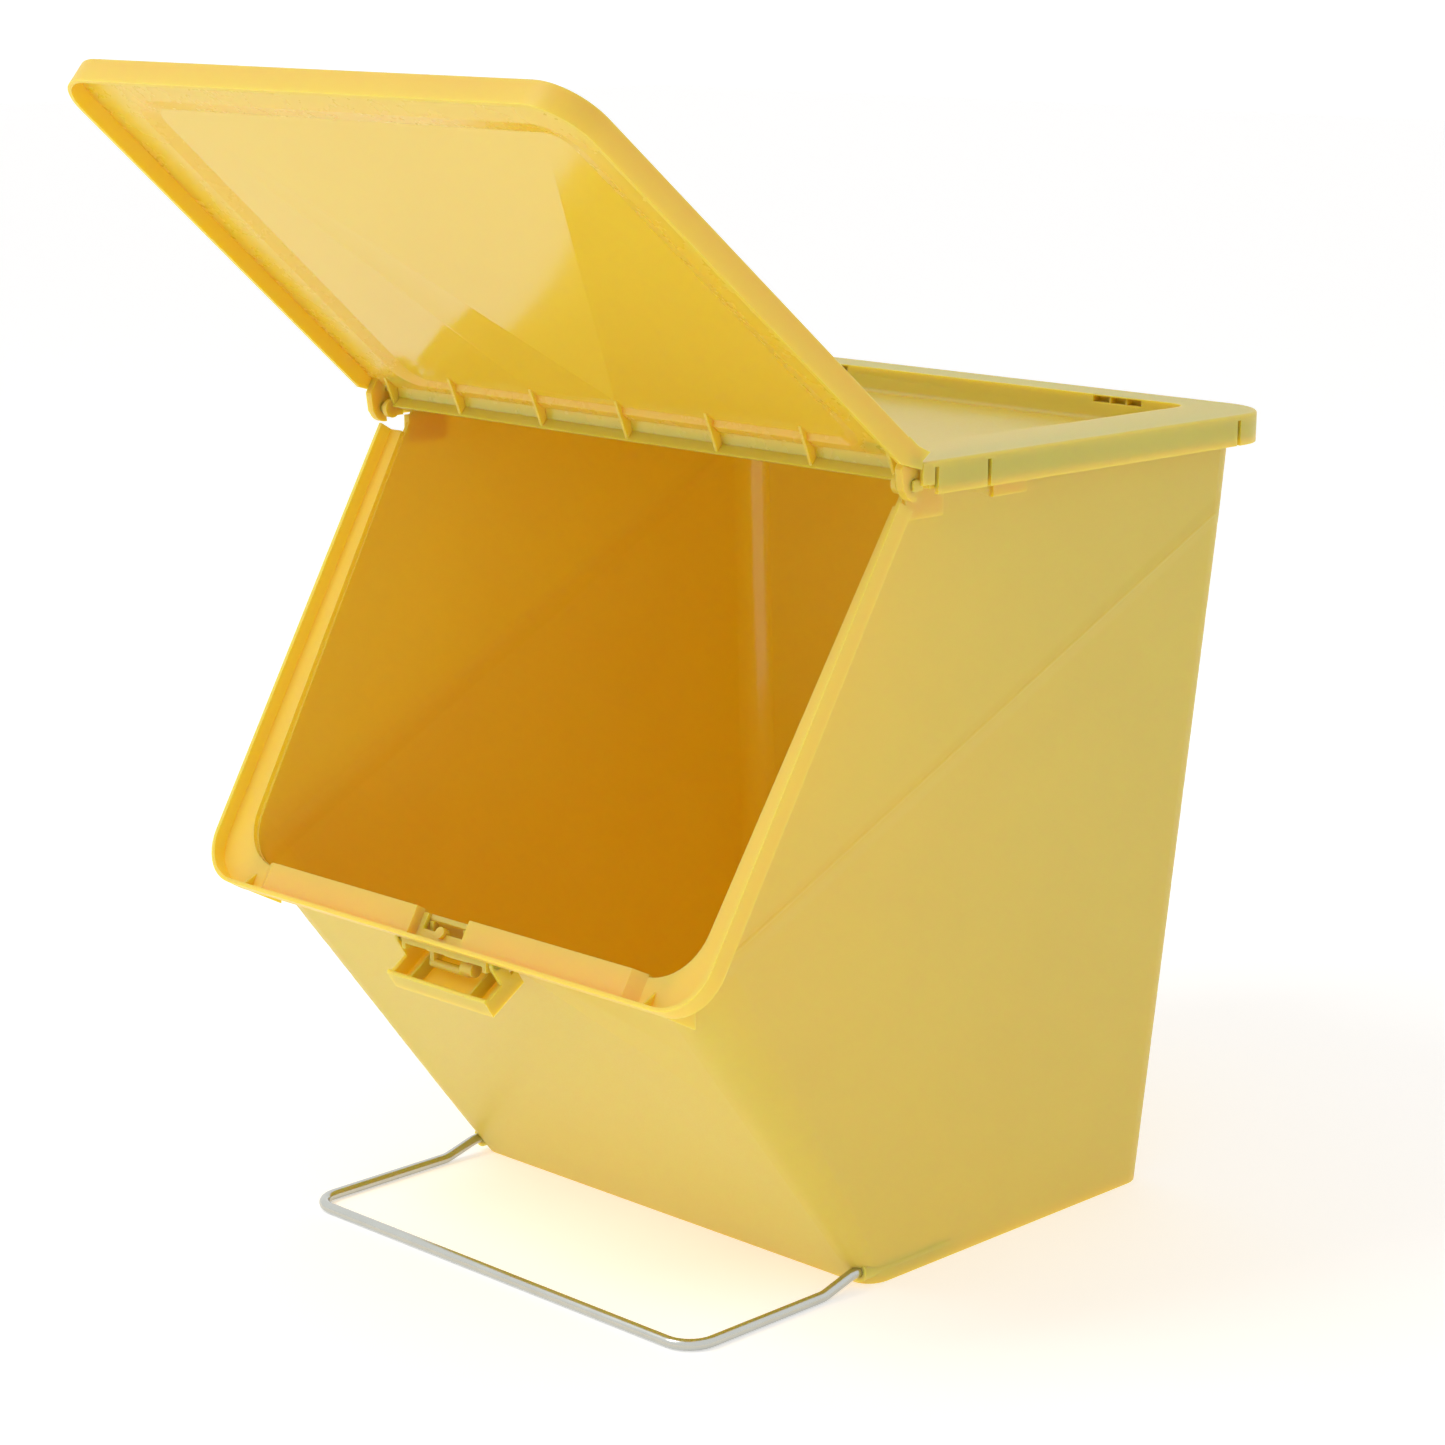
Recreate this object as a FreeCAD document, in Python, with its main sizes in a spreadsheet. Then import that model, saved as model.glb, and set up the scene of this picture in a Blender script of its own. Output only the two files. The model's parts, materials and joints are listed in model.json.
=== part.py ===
import FreeCAD, Part
import math
import os
import re

# Front-opening stacking waste bin: a beaked tub, a push-on top cover, a hinged flap lid, a latch lever
# and a bent-wire stand.
# Millimetres.  +Z is up, the mouth faces -Y, and the origin is the middle of the base.
# The lid is drawn flat in its own frame, origin on the hinge axis, and its Placement swings it open.
# The latch lever is drawn flat in its own frame, origin on its pivot, and its Placement lets it hang.

SIZES = {
    # whole body
    "total_height": 450, "cover_half_width": 203.2, "base_depth": 242, "base_inset": 50.2, "wall": 2.5,
    "floor_wall": 3, "chest_angle": 51.5, "back_draft": 2.1, "side_draft": 3.4, "crease_drop": 49,
    "top_inset": 16.7, "front_corner_low": 12, "front_corner_high": 30, "back_corner": 18,
    "crease_radius": 3, "crease_proud": 0.28,
    # hinge axis
    "hinge_forward": 1.7, "hook_clear": 1,
    # mouth and its rim, measured down the mouth's plane from the hinge axis
    "mouth_angle": 59.6, "rim_start": 9.5, "rim_overrun": 17.6, "rim_inset": 8.5, "rim_taper": 5.3,
    "rim_corner": 27, "rim_wall": 2.2, "rim_set": 8, "rim_flange": 10.7, "mouth_taper": 13.5,
    "mouth_sill": 1.6, "mouth_corner": 30,
    "pad_inner": 18.6, "pad_end": 43.9, "pad_rise": 5, "pad_inner_slope": 1.5,
    "pad_outer_slope": 7.5, "pad_reach": 1.5, "gap_half": 15, "gap_depth": 8.5, "boss_radius": 3,
    "web_end": 35.9, "web_thick": 1.6, "web_reach": 9, "web_drop": 2,
    "fin_end": 29.9, "fin_thick": 2, "fin_front": 6, "fin_back": 17, "fin_deep": 24,
    # top cover
    "cover_ahead": 30.7, "cover_behind": 12.1, "cover_skirt": 16.8, "cover_wall": 2.5, "cover_corner": 34,
    "cover_edge_round": 1.5, "cover_set_back": 3.3, "front_skirt": 9, "seat_thick": 3, "seat_drop": 14,
    "seat_gap": 0.6, "recess_side": 43.2, "recess_behind": 25.6, "recess_ahead": 36.7, "recess_depth": 14.8,
    "recess_corner": 12, "recess_foot": 3, "slot_width": 3, "slot_top": 3, "slot_front_place": 10.2,
    "slot_middle_place": 50.7, "slot_back_place": 39.1, "pocket_side": 33.2, "pocket_width": 33.9,
    "pocket_height": 3.5, "pocket_skin": 0.8, "pocket_depth": 6, "pocket_wall": 1.5, "pocket_bar": 1.2,
    # patches on the upper side walls
    "patch_rise": 0.7, "lug_place": 73.7, "lug_width": 27, "lug_drop": 15.5, "lug_height": 11,
    "panel_place": 5.7, "panel_width": 29, "panel_drop": 15.5, "panel_height": 16,
    # lid
    "lid_overrun": 10.8, "lid_overhang": 0.2, "lid_taper": 16.5, "lid_depth": 14, "lid_wall": 2.3,
    "lid_gap": 0.3, "lid_corner": 28, "lid_edge_round": 1.2, "lid_open_angle": 39.5, "lid_start": 8.6,
    "lid_relief": 18.7, "step_height": 2.7, "step_run": 10, "plateau_inset": 39.5, "plateau_end": 36.8,
    "plateau_near": 16, "plateau_corner": 12, "strip_gap": 0.6, "strip_edge": 0.4, "strip_low": 0.6,
    "strip_rise": 7.5, "strip_wall": 1.6, "rib_pitch": 65.5, "rib_thick": 1.8, "rib_reach": 22,
    "ear_rise": 2.3, "ear_gap": 1.6, "ear_reach": 22,
    # hinge pins and hooks
    "pin_radius": 3, "pin_play": 0.05, "hook_wall": 4.95, "hook_inset": 8.2, "hook_thick": 4.5,
    "hook_side": 0.25,
    "arm_near": 7.4, "arm_far": 15, "cheek_inset": 15.2, "cheek_thick": 3.2, "cheek_wall": 2.2,
    "pin_block": 7, "pin_block_half": 2.5,
    # latch lever and its bracket on the tub, from the rim's foot
    "pivot_back": 1, "pivot_under": 16.4, "pivot_radius": 2, "pivot_play": 0.05, "bracket_half": 32.5,
    "bracket_wall": 2.6, "bracket_ahead": 3.4, "bracket_drop": 4.5, "bracket_front_drop": 1.5,
    "bracket_rise": 8, "bracket_deep": 22, "lever_half": 37.8, "lever_wall": 2, "lever_arm": 2.3,
    "lever_floor": 20.5, "lever_front": 17.5, "lever_back": 8, "lever_side": 10.2, "lever_rib": 22,
    "lever_rib_thick": 1.4, "lever_bead": 1.3, "lever_hang": 33.7, "lever_eye": 4,
    "loop_half": 14.5, "loop_radius": 2.3, "loop_drop": 9.5, "loop_set": 2, "loop_rise": 13, "loop_leg": 3,
    "barrel_radius": 3.9, "barrel_start": 10.5, "barrel_end": 19, "barrel_drop": 7,
    # wire stand
    "wire_radius": 3, "wire_inset": 4.5, "wire_reach": 132.5, "wire_corner": 16, "bore_height": 9,
    "wire_grip": 60, "wire_play": 0.1, "wire_end_gap": 2, "socket_wall": 2.4, "socket_front": 5,
    "wire_entry": 10, "wire_fall": 22, "wire_bend": 20,
}

# Sizes that follow from others, so that what fits together stays together.
FOLLOWING = {
    "back_lean": "tan(back_draft * 1 deg)",
    "cover_front": "base_depth / 2 + cover_ahead",
    "cover_back": "base_depth / 2 + total_height * back_lean + cover_behind",
    "top_half_width": "cover_half_width - top_inset",
    "base_half_width": "cover_half_width - base_inset",
    "crease_back_height": "total_height - crease_drop",
    "hook_radius": "pin_radius + pin_play + hook_wall",
    "hinge_drop": "cover_wall + hook_radius + hook_clear",
    "hinge_reach": "cover_front + hinge_forward",
    "hinge_height": "total_height - hinge_drop",
    "chest_run": "1 / tan(chest_angle * 1 deg)",
    "mouth_run": "cos(mouth_angle * 1 deg)",
    "mouth_rise": "sin(mouth_angle * 1 deg)",
    "chest_span": "base_depth / 2 - hinge_reach + hinge_height * chest_run",
    "beak_reach": "chest_span / (mouth_run + mouth_rise * chest_run)",
    "rim_length": "beak_reach + rim_overrun",
    "rim_half_top": "cover_half_width - rim_inset",
    "rim_half_bottom": "rim_half_top - rim_taper",
    "mouth_half_top": "rim_half_top - rim_flange",
    "mouth_half_bottom": "mouth_half_top - mouth_taper",
    "mouth_bottom": "beak_reach + mouth_sill",
    "pad_outer": "rim_half_bottom - pad_end",
    "web_place": "rim_half_bottom - web_end",
    "fin_place": "rim_half_bottom - fin_end",
    "recess_half_width": "cover_half_width - recess_side",
    "recess_back": "cover_back - recess_behind",
    "recess_front": "cover_front - recess_ahead",
    "slot_front": "cover_front - slot_front_place",
    "slot_middle": "cover_front - slot_middle_place",
    "slot_back": "cover_back - slot_back_place",
    "pocket_end": "recess_half_width - pocket_side",
    "lug_start": "cover_front - lug_place",
    "panel_start": "cover_front - panel_place",
    "lid_length": "rim_length + lid_overrun",
    "lid_half_hinge": "cover_half_width + lid_overhang",
    "lid_half_free": "lid_half_hinge - lid_taper",
    "plateau_far": "lid_length - plateau_end",
    "ear_nose": "pin_radius + ear_gap",
    "hook_inner": "cover_half_width - hook_inset",
    "cheek_inner": "cover_half_width - cheek_inset",
    "cheek_radius": "pin_radius + cheek_wall",
    "strip_half": "cheek_inner - strip_gap",
    "pivot_reach": "hinge_reach + (rim_length - pivot_back) * mouth_run - pivot_under * mouth_rise",
    "pivot_height": "hinge_height - (rim_length - pivot_back) * mouth_rise - pivot_under * mouth_run",
    "wire_half": "base_half_width - wire_inset",
    "wire_front": "base_depth / 2 + wire_reach",
    "socket_radius": "wire_radius + wire_play + socket_wall",
}

doc = FreeCAD.newDocument("stacking_bin")
sheet = doc.addObject("Spreadsheet::Sheet", "sizes")
cells = list(SIZES.items()) + [(alias, f"={formula}") for alias, formula in FOLLOWING.items()]
for row, (alias, content) in enumerate(cells, start=1):
    sheet.set(f"A{row}", alias)
    sheet.setAlias(f"B{row}", alias)
    sheet.set(f"B{row}", str(content))
doc.recompute()
size = {alias: float(sheet.get(alias)) for alias, content in cells}


def bound(formula):
    """Turns every size name in a formula into a reference to its spreadsheet cell."""
    def cell(word):
        return f"sizes.{word[0]}" if word[0] in size else word[0]
    return re.sub(r"[a-z_]{3,}", cell, str(formula))


def bind(thing, **formulas):
    for name, formula in formulas.items():
        thing.setExpression(name.replace("__", "."), bound(formula))
    return thing


def put(thing, x="0", y="0", z="0"):
    return bind(thing, Placement__Base__x=x, Placement__Base__y=y, Placement__Base__z=z)


def box(name, x, y, z):
    """A box from its three pairs of limits."""
    thing = doc.addObject("Part::Box", name)
    bind(thing, Length=f"({x[1]}) - ({x[0]})", Width=f"({y[1]}) - ({y[0]})", Height=f"({z[1]}) - ({z[0]})")
    return put(thing, x[0], y[0], z[0])


def rod(name, radius, x, y, z):
    """A round bar along X between two limits."""
    thing = doc.addObject("Part::Cylinder", name)
    bind(thing, Radius=radius, Height=f"({x[1]}) - ({x[0]})")
    thing.Placement.Rotation = FreeCAD.Rotation(FreeCAD.Vector(0, 1, 0), 90)
    return put(thing, x[0], y, z)


def fuse(name, *things):
    thing = doc.addObject("Part::MultiFuse", name)
    thing.Shapes = list(things)
    return thing


def cut(name, base, *tools):
    thing = doc.addObject("Part::Cut", name)
    thing.Base = base
    thing.Tool = tools[0] if len(tools) == 1 else fuse(name + "_tools", *tools)
    return thing


def both(name, make):
    """Makes a thing for the right side and for the left, from one function of the side's sign."""
    return [make(f"{name}_{side}", sign) for side, sign in (("right", 1), ("left", -1))]


def across(sign, inner, outer):
    """The X limits of a feature between two distances from the middle, on one side."""
    return (inner, outer) if sign > 0 else (f"-({outer})", f"-({inner})")


def rounded(name, base, *choices):
    """Rounds the edges of base that each choice (test, first radius, second radius) picks."""
    doc.recompute()
    thing = doc.addObject("Part::Fillet", name)
    thing.Base = base
    picked = []
    for number, edge in enumerate(base.Shape.Edges, start=1):
        ends = [edge.firstVertex(True).Point, edge.lastVertex(True).Point]
        for test, low, high in choices:
            if test(edge, *ends):
                picked.append((number, low, high) if ends[0].z <= ends[1].z else (number, high, low))
                break
    thing.Edges = picked
    return thing


def upright(edge, start, end):
    return abs(start.x - end.x) < 0.01 and abs(start.y - end.y) < 0.01


def prism(points, run):
    """The solid swept by a closed outline along a vector."""
    return Part.Face(Part.makePolygon(points + [points[0]])).extrude(run)


def solid_from(name, shape):
    thing = doc.addObject("Part::Feature", name)
    thing.Shape = shape
    return thing


def piece(name, body):
    """Ends one sub-part: the body gets the name that its file and node carry."""
    body.Label = name
    pieces.append(body)
    return body


pieces = []

# ---------------------------------------------------------------- shared places
hinge_y, hinge_z = -size["hinge_reach"], size["hinge_height"]
mouth = math.radians(size["mouth_angle"])
cover_under = size["total_height"] - size["cover_wall"]
HINGE_Y, HINGE_Z = "-(hinge_reach)", "hinge_height"
PIVOT_Y = "-(pivot_reach)"


def mouth_frame():
    """The frame of the mouth's plane: X across, -Y down the rim from the hinge axis, Z out of the mouth."""
    turn = FreeCAD.Rotation(FreeCAD.Vector(1, 0, 0), size["mouth_angle"])
    return FreeCAD.Placement(FreeCAD.Vector(0, hinge_y, hinge_z), turn)


# ---------------------------------------------------------------- tub
def tub_block(inset, bottom, out, top):
    """The tub's faceted block: drafted back and upper sides, sloping chest, and lower sides that twist up
    to a crease from the beak's corner to the back.  inset moves the walls in, out moves the front along the
    mouth's normal.  Returns the solid and its right-hand corners."""
    chest = math.radians(size["chest_angle"])
    lean = math.tan(math.radians(size["side_draft"]))

    def chest_y(z):
        return -size["base_depth"] / 2 + inset / math.sin(chest) - z / math.tan(chest)

    def back_y(z):
        return size["base_depth"] / 2 + z * math.tan(math.radians(size["back_draft"])) - inset

    def front_y(z):
        return hinge_y - (hinge_z + out * math.cos(mouth) - z) / math.tan(mouth) - out * math.sin(mouth)

    def side_x(z):
        return size["top_half_width"] - (cover_under - z) * lean - inset

    gap_low = chest_y(0) - front_y(0)
    gap_slope = chest_y(1) - front_y(1) - gap_low
    beak_z = -gap_low / gap_slope
    crease_z = size["crease_back_height"]
    low_x = size["base_half_width"] - inset
    corner = {
        "front_low": (low_x, chest_y(bottom), bottom),
        "back_low": (low_x, back_y(bottom), bottom),
        "beak": (side_x(beak_z), chest_y(beak_z), beak_z),
        "crease": (side_x(crease_z), back_y(crease_z), crease_z),
        "front_top": (side_x(top), front_y(top), top),
        "back_top": (side_x(top), back_y(top), top),
    }
    right = {name: FreeCAD.Vector(*place) for name, place in corner.items()}
    left = {name: FreeCAD.Vector(-place[0], place[1], place[2]) for name, place in corner.items()}

    def face(*points):
        return Part.Face(Part.makePolygon(list(points) + [points[0]]))

    spans = (("front_low", "back_low"), ("front_low", "beak"), ("beak", "front_top"), ("front_top", "back_top"))
    faces = [face(right[a], right[b], left[b], left[a]) for a, b in spans]
    faces.append(face(right["back_low"], right["crease"], right["back_top"],
                      left["back_top"], left["crease"], left["back_low"]))
    for side in (right, left):
        faces.append(face(side["beak"], side["front_top"], side["back_top"], side["crease"]))
        faces.append(Part.makeRuledSurface(Part.makeLine(side["front_low"], side["back_low"]),
                                           Part.makeLine(side["beak"], side["crease"])))
    shell = Part.makeShell(faces)
    shell.sewShape()
    solid = Part.makeSolid(shell).removeSplitter()
    solid.fix(1e-3, 1e-3, 1e-3)
    return solid, right


def tub_rounded(name, inset, bottom, out, top):
    solid, corner = tub_block(inset, bottom, out, top)

    def joins(first, second):
        def test(edge, start, end):
            ends = [FreeCAD.Vector(abs(p.x), p.y, p.z) for p in (start, end)]
            near = [min((p - corner[key]).Length for p in ends) < 0.01 for key in (first, second)]
            return all(near) and abs(start.x - end.x) < 100
        return test

    low, high = size["front_corner_low"] - inset, size["front_corner_high"] - inset
    back = size["back_corner"] - inset
    return rounded(name, solid_from(name + "_block", solid), (joins("front_low", "beak"), low, high),
                   (joins("crease", "back_top"), back, back))


flange_back = size["rim_set"] + size["wall"]
tub_outer = tub_rounded("tub_outer", 0, 0, -flange_back, cover_under)
tub_inner = tub_rounded("tub_inner", size["wall"], size["floor_wall"], 3 * size["wall"], cover_under + 20)


def mouth_outline(half_top, half_bottom, start, end, corner, low, high):
    """A tapering block in the mouth's frame with its two lower corners rounded."""
    top = half_top + (half_bottom - half_top) * start / size["rim_length"]
    foot = half_top + (half_bottom - half_top) * end / size["rim_length"]
    outline = [FreeCAD.Vector(*p) for p in (
        (-top, -start, low), (top, -start, low), (foot, -end, low), (-foot, -end, low))]
    block = prism(outline, FreeCAD.Vector(0, 0, high - low))
    lower = [e for e in block.Edges if upright(e, e.Vertexes[0].Point, e.Vertexes[-1].Point)
             and abs(e.Vertexes[0].Point.y + end) < 0.01]
    return block.makeFillet(corner, lower)


def tub_rim():
    """The frame round the mouth: a flange set back behind an upstanding lip, and two pads over its foot."""
    lip, back = size["rim_wall"], -flange_back
    start, end = size["rim_start"], size["rim_length"]
    wide, narrow, corner = size["rim_half_top"], size["rim_half_bottom"], size["rim_corner"]
    frame = mouth_outline(wide, narrow, start, end, corner, back, 0)
    well = mouth_outline(wide - lip, narrow - lip, start - 5, end - lip, corner - lip, -size["rim_set"], 5)
    wide, narrow, corner = size["mouth_half_top"], size["mouth_half_bottom"], size["mouth_corner"]
    opening = mouth_outline(wide, narrow, start - 5, size["mouth_bottom"], corner, back - 5, 5)
    shape = frame.cut(well).cut(opening)
    foot, edge, face = -size["rim_length"] + lip - 0.5, -size["mouth_bottom"], -size["rim_set"]
    gap = Part.makeBox(2 * size["gap_half"], size["gap_depth"] + 5, 30,
                       FreeCAD.Vector(-size["gap_half"], edge - size["gap_depth"], back - 10))
    shape = shape.cut(gap)
    crest = face + size["pad_rise"]
    inner, outer = size["pad_inner"], size["pad_outer"]
    web_half, web_reach = size["web_thick"] / 2, size["web_reach"]
    for sign in (1, -1):
        pad = [FreeCAD.Vector(sign * x, foot, z) for x, z in (
            (inner, back), (inner, face), (inner + size["pad_inner_slope"], crest),
            (outer - size["pad_outer_slope"], crest), (outer, face), (outer, back))]
        shape = shape.fuse(prism(pad, FreeCAD.Vector(0, edge + size["pad_reach"] - foot, 0)))
        web = [FreeCAD.Vector(sign * size["web_place"] - web_half, y, z) for y, z in (
            (foot, face - 0.5), (foot, -size["web_drop"]), (foot + web_reach, face - 0.5))]
        shape = shape.fuse(prism(web, FreeCAD.Vector(2 * web_half, 0, 0)))
    boss_foot = FreeCAD.Vector(0, edge - size["gap_depth"], back)
    boss = Part.makeCylinder(size["boss_radius"], size["pad_rise"], boss_foot)
    shape = shape.fuse(boss).removeSplitter()
    shape.Placement = mouth_frame()
    return shape


def crease_ridge(sign):
    """A slight bead along the crease, from behind the beak's corner to just short of the back corner."""
    corner = tub_block(0, 0, -flange_back, cover_under)[1]
    beak, crease = corner["beak"], corner["crease"]
    start, end = (FreeCAD.Vector(sign * place.x, place.y, place.z) for place in (beak, crease))
    run = (end - start).normalize()
    start, end = start + run * size["front_corner_high"], end - run * size["back_corner"]
    sunk = FreeCAD.Vector(-sign * (size["crease_radius"] - size["crease_proud"]), 0, 0)
    return Part.makeCylinder(size["crease_radius"], (end - start).Length, start + sunk, run)


def corner_fin(sign):
    """A small fin that props the rim's lower corner off the chest."""
    beak = tub_block(0, 0, -flange_back, cover_under)[1]["beak"]
    inside = sign * size["fin_place"] - size["fin_thick"] / 2
    front, back, deep = size["fin_front"], size["fin_back"], size["fin_deep"]
    outline = [FreeCAD.Vector(inside, beak.y + y, beak.z + z) for y, z in (
        (-front, -deep / 2), (back, -deep), (back, 2), (0, 4))]
    return prism(outline, FreeCAD.Vector(size["fin_thick"], 0, 0))


def tub_seat():
    """The outward ledge under the cover's skirt, round the sides and the back."""
    inside = size["cover_wall"] + size["seat_gap"]
    reach, back = size["cover_half_width"] - inside, size["cover_back"] - inside
    front, level = size["cover_front"] - inside - 5, size["total_height"] - size["seat_drop"]
    plate = Part.makeBox(2 * reach, back + front, size["seat_thick"], FreeCAD.Vector(-reach, -front, level))
    corners = [e for e in plate.Edges if upright(e, e.Vertexes[0].Point, e.Vertexes[-1].Point)
               and e.Vertexes[0].Point.y > 0]
    return plate.makeFillet(size["cover_corner"] - inside, corners)


def side_patch(name, sign, start, width, drop, height):
    """A shallow raised patch on the upper side wall, below the cover."""
    return box(name, across(sign, "top_half_width - 6", "top_half_width + patch_rise"),
               (f"-({start})", f"-({start}) + {width}"),
               (f"total_height - {drop} - {height}", f"total_height - {drop}"))


def along(name, sign, radius, start, end):
    """A round bar along Y on one leg's centre line."""
    thing = doc.addObject("Part::Cylinder", name)
    bind(thing, Radius=radius, Height=f"({end}) - ({start})")
    thing.Placement.Rotation = FreeCAD.Rotation(FreeCAD.Vector(1, 0, 0), -90)
    return put(thing, f"{sign} * wire_half", start, "bore_height")


SOCKET_END = "-(base_depth / 2) + wire_grip + wire_end_gap"
rim = solid_from("tub_rim", tub_rim())
creases = both("crease", lambda name, sign: solid_from(name, crease_ridge(sign)))
fins = both("corner_fin", lambda name, sign: solid_from(name, corner_fin(sign)))
seat = solid_from("tub_seat", tub_seat())
lugs = both("side_lug", lambda name, sign: side_patch(
    name, sign, "lug_start", "lug_width", "lug_drop", "lug_height"))
patches = both("corner_patch", lambda name, sign: side_patch(
    name, sign, "panel_start", "panel_width", "panel_drop", "panel_height"))
sockets = both("wire_socket", lambda name, sign: along(
    name, sign, "socket_radius", "-(base_depth / 2) - socket_front", f"{SOCKET_END} + socket_wall"))
bores = both("wire_bore", lambda name, sign: along(
    name, sign, "wire_radius + wire_play", "-(base_depth / 2) - 30", SOCKET_END))
bracket_z = ("pivot_height - bracket_drop", "pivot_height + bracket_rise")
cheeks = both("bracket_cheek", lambda name, sign: box(
    name, across(sign, "bracket_half - bracket_wall", "bracket_half"),
    (f"{PIVOT_Y} - bracket_ahead", f"{PIVOT_Y} + bracket_deep"), bracket_z))
bracket_front = box("bracket_front", ("-bracket_half", "bracket_half"),
                    (f"{PIVOT_Y} - bracket_ahead", f"{PIVOT_Y} - bracket_ahead + bracket_wall"),
                    ("pivot_height - bracket_front_drop", "pivot_height + bracket_rise"))
pivots = both("latch_pivot", lambda name, sign: rod(
    name, "pivot_radius", across(sign, "bracket_half - bracket_wall", "lever_half"), PIVOT_Y, "pivot_height"))
loop_bar = rod("loop_bar", "loop_radius", ("-(loop_half)", "loop_half"), f"{PIVOT_Y} + loop_set",
               "pivot_height - loop_drop")
barrel = rod("loop_barrel", "barrel_radius", ("barrel_start", "barrel_end"), f"{PIVOT_Y} + loop_set",
             "pivot_height - barrel_drop")
loop_legs = both("loop_leg", lambda name, sign: box(
    name, across(sign, "loop_half - loop_leg", "loop_half"),
    (f"{PIVOT_Y} + loop_set - loop_radius + 0.4", f"{PIVOT_Y} + loop_set + loop_radius"),
    ("pivot_height - loop_drop", "pivot_height + loop_rise")))

tub_full = fuse("tub_full", tub_outer, seat, *lugs, *patches, *creases, *fins, *cheeks, bracket_front,
                loop_bar, barrel, *loop_legs)
tub_hollow = cut("tub_hollow", tub_full, tub_inner)
tub_body = fuse("tub_body", tub_hollow, rim, *sockets, *pivots)
piece("tub", cut("tub", tub_body, *bores))

# ---------------------------------------------------------------- top cover
FRONT, BACK, TOP = "-(cover_front)", "cover_back", "total_height"
SKIN = "total_height - cover_wall"


def back_corner(edge, start, end):
    return upright(edge, start, end) and start.y > 0


def floor_edge(edge, start, end):
    return max(start.z, end.z) < size["total_height"] - size["recess_depth"] + 0.01


def top_edge(edge, start, end):
    return min(start.z, end.z) > size["total_height"] - 0.01 and max(start.y, end.y) > 0


corner = size["cover_corner"]
cover_block = box("cover_block", ("-(cover_half_width)", "cover_half_width"), (FRONT, BACK),
                  ("total_height - cover_skirt", TOP))
cover_corners = rounded("cover_corners", cover_block, (back_corner, corner, corner))
edge_round = size["cover_edge_round"]
cover_outer = rounded("cover_outer", cover_corners, (top_edge, edge_round, edge_round))
under_block = box("under_block", ("-(cover_half_width - cover_wall)", "cover_half_width - cover_wall"),
                  (f"{FRONT} - 5", "cover_back - cover_wall"), ("total_height - cover_skirt - 5", SKIN))
inner = corner - size["cover_wall"]
under = rounded("cover_under", under_block, (back_corner, inner, inner))
tray_block = box("tray_block", ("-(recess_half_width + cover_wall)", "recess_half_width + cover_wall"),
                 ("-(recess_front + cover_wall)", "recess_back + cover_wall"),
                 ("total_height - recess_depth - cover_wall", "total_height - 1"))
recess_block = box("recess_block", ("-(recess_half_width)", "recess_half_width"),
                   ("-(recess_front)", "recess_back"), ("total_height - recess_depth", "total_height + 5"))
tray_corner = size["recess_corner"] + size["cover_wall"]
tray = rounded("tray", tray_block, (upright, tray_corner, tray_corner))
corner = size["recess_corner"]
recess_walls = rounded("recess_walls", recess_block, (upright, corner, corner))
foot = size["recess_foot"]
recess = rounded("recess", recess_walls, (floor_edge, foot, foot))


def side_slot(name, sign, middle):
    return box(name, across(sign, "cover_half_width - cover_wall - 1", "cover_half_width + 1"),
               (f"{middle} - slot_width / 2", f"{middle} + slot_width / 2"),
               ("total_height - cover_skirt - 1", "total_height - slot_top"))


def pocket(name, sign, grow, start, end):
    """A box round one of the long pockets in the recess's back wall."""
    high = "total_height - pocket_skin"
    return box(name, across(sign, f"pocket_end - pocket_width - {grow}", f"pocket_end + {grow}"),
               (start, end), (f"{high} - pocket_height - {grow}", high))


def pocket_bar(name, sign, place):
    """A set-back bar that divides a pocket, counted from the outside."""
    middle = f"pocket_end - pocket_width * {place} / 3"
    return box(name, across(sign, f"{middle} - pocket_bar / 2", f"{middle} + pocket_bar / 2"),
               ("recess_back + pocket_bar", "recess_back + pocket_depth + 0.5"),
               ("total_height - pocket_skin - pocket_height - 0.5", "total_height - pocket_skin + 0.2"))


set_back = box("set_back", ("-(cheek_inner) + 0.2", "cheek_inner - 0.2"),
               (f"{FRONT} - 5", f"{FRONT} + cover_set_back"),
               ("total_height - cover_skirt - 1", "total_height + 1"))
tab_cuts = both("tab_cut", lambda name, sign: box(
    name, across(sign, "cover_half_width - cover_wall - 1", "cover_half_width + 1"),
    (f"{FRONT} - 1", "-(slot_front)"), ("total_height - cover_skirt - 1", "total_height - hinge_drop")))
slots = []
for place, middle in enumerate(("-(slot_front)", "-(slot_middle)", "slot_back")):
    slots += both(f"side_slot_{place + 1}", lambda name, sign: side_slot(name, sign, middle))
pocket_shells = both("pocket_shell", lambda name, sign: pocket(
    name, sign, "pocket_wall", "recess_back + 1", "recess_back + pocket_depth + pocket_wall"))
pockets = both("pocket", lambda name, sign: pocket(
    name, sign, "0", "recess_back - 1", "recess_back + pocket_depth"))
pocket_bars = []
for place in (1, 2):
    pocket_bars += both(f"pocket_bar_{place}", lambda name, sign: pocket_bar(name, sign, place))

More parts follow.
